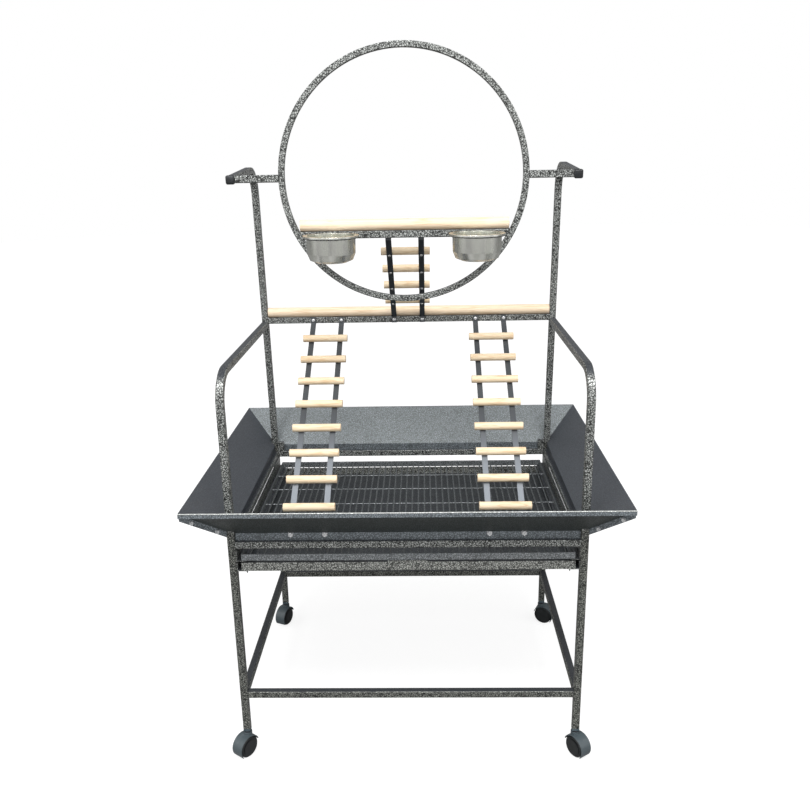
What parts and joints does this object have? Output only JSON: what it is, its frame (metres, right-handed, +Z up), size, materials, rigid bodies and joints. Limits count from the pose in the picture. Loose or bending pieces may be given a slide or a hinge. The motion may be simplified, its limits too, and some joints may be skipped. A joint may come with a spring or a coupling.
{
  "type": "parrot play stand",
  "caption": "Rolling play stand for a parrot: square-tube frame with swept cane sides, ring with perch and feeding bowls, dowel ladders, flared seed guards, wire grate and slide-out tray",
  "frame": {"origin": "on the floor under the middle of the overall box, under the middle of the frame", "axes": "+X to the right seen from the front, +Y to the rear, +Z up"},
  "size_m": [0.9182, 0.7312, 1.547],
  "materials": {
    "frame_paint": "silver-black hammertone powder coat",
    "guard_paint": "silver-black hammertone powder coat on folded sheet",
    "tray_paint": "silver-black hammertone powder coat on sheet",
    "grate_paint": "silver-black hammertone powder coat on wire",
    "pine": "plain sanded pine dowel, no varnish",
    "stainless_steel": "bright spun stainless steel",
    "black_plastic": "satin black moulding",
    "wheel_plastic": "satin black hard wheel",
    "socket_plastic": "blue-grey moulded plug",
    "plated_steel": "bright zinc plate"
  },
  "bodies": {
    "stand": {"front_leg_left": "frame_paint", "front_leg_right": "frame_paint", "rear_leg_left": "frame_paint", "rear_leg_right": "frame_paint", "stretcher_front": "frame_paint", "stretcher_rear": "frame_paint", "stretcher_left": "frame_paint", "stretcher_right": "frame_paint", "rail_front": "frame_paint", "rail_rear": "frame_paint", "rail_left": "frame_paint", "rail_right": "frame_paint", "tube_spigots": "frame_paint", "side_arm_left": "frame_paint", "side_arm_right": "frame_paint", "rear_post_left": "frame_paint", "rear_post_right": "frame_paint", "ring": "frame_paint", "ring_arm_left": "frame_paint", "ring_arm_right": "frame_paint", "crossbar": "frame_paint", "perch_bar": "frame_paint", "ladder_left_straps": "frame_paint", "ladder_right_straps": "frame_paint", "ladder_rear_straps": "frame_paint", "bowl_holder_left": "frame_paint", "bowl_holder_right": "frame_paint", "guard_clips": "frame_paint", "tray_runner_left": "frame_paint", "tray_runner_right": "frame_paint", "grate_runner_left": "frame_paint", "grate_runner_right": "frame_paint", "seed_guard_front": "guard_paint", "seed_guard_right": "guard_paint", "seed_guard_rear": "guard_paint", "seed_guard_left": "guard_paint", "main_perch": "pine", "ring_perch": "pine", "ladder_left_rungs": "pine", "ladder_right_rungs": "pine", "ladder_rear_rungs": "pine", "cane_caps": "black_plastic", "caster_sockets": "socket_plastic"},
    "seed_tray": {"tray": "tray_paint"},
    "wire_grate": {"grate": "grate_paint"},
    "left_bowl": {"bowl_left": "stainless_steel"},
    "right_bowl": {"bowl_right": "stainless_steel"},
    "front_left_caster": {"caster_front_left_hood": "black_plastic", "caster_front_left_stem": "plated_steel"},
    "front_left_wheels": {"caster_front_left_wheels": "wheel_plastic"},
    "front_right_caster": {"caster_front_right_hood": "black_plastic", "caster_front_right_stem": "plated_steel"},
    "front_right_wheels": {"caster_front_right_wheels": "wheel_plastic"},
    "rear_left_caster": {"caster_rear_left_hood": "black_plastic", "caster_rear_left_stem": "plated_steel"},
    "rear_left_wheels": {"caster_rear_left_wheels": "wheel_plastic"},
    "rear_right_caster": {"caster_rear_right_hood": "black_plastic", "caster_rear_right_stem": "plated_steel"},
    "rear_right_wheels": {"caster_rear_right_wheels": "wheel_plastic"}
  },
  "joints": [
    {"name": "front_left_swivel", "type": "hinge", "parent": "stand", "child": "front_left_caster", "pos_m": [-0.375, -0.2815, 0.058], "axis": [0, 0, 1], "continuous": true},
    {"name": "front_left_roll", "type": "hinge", "parent": "front_left_caster", "child": "front_left_wheels", "pos_m": [-0.38016, -0.28887, 0.025], "axis": [0.8192, -0.5736, 0], "continuous": true},
    {"name": "front_right_swivel", "type": "hinge", "parent": "stand", "child": "front_right_caster", "pos_m": [0.375, -0.2815, 0.058], "axis": [0, 0, 1], "continuous": true},
    {"name": "front_right_roll", "type": "hinge", "parent": "front_right_caster", "child": "front_right_wheels", "pos_m": [0.38016, -0.28887, 0.025], "axis": [0.8192, 0.5736, 0], "continuous": true},
    {"name": "rear_left_swivel", "type": "hinge", "parent": "stand", "child": "rear_left_caster", "pos_m": [-0.375, 0.2815, 0.058], "axis": [0, 0, 1], "continuous": true},
    {"name": "rear_left_roll", "type": "hinge", "parent": "rear_left_caster", "child": "rear_left_wheels", "pos_m": [-0.37852, 0.27321, 0.025], "axis": [0.9205, -0.3907, 0], "continuous": true},
    {"name": "rear_right_swivel", "type": "hinge", "parent": "stand", "child": "rear_right_caster", "pos_m": [0.375, 0.2815, 0.058], "axis": [0, 0, 1], "continuous": true},
    {"name": "rear_right_roll", "type": "hinge", "parent": "rear_right_caster", "child": "rear_right_wheels", "pos_m": [0.38316, 0.2777, 0.025], "axis": [0.4226, 0.9063, 0], "continuous": true},
    {"name": "tray_slide", "type": "slide", "parent": "stand", "child": "seed_tray", "axis": [0, -1, 0], "range_m": [0, 0.48]},
    {"name": "grate_slide", "type": "slide", "parent": "stand", "child": "wire_grate", "axis": [0, -1, 0], "range_m": [0, 0.48]},
    {"name": "left_bowl_lift", "type": "slide", "parent": "stand", "child": "left_bowl", "axis": [0, 0, 1], "range_m": [0, 0.09]},
    {"name": "right_bowl_lift", "type": "slide", "parent": "stand", "child": "right_bowl", "axis": [0, 0, 1], "range_m": [0, 0.09]}
  ]
}
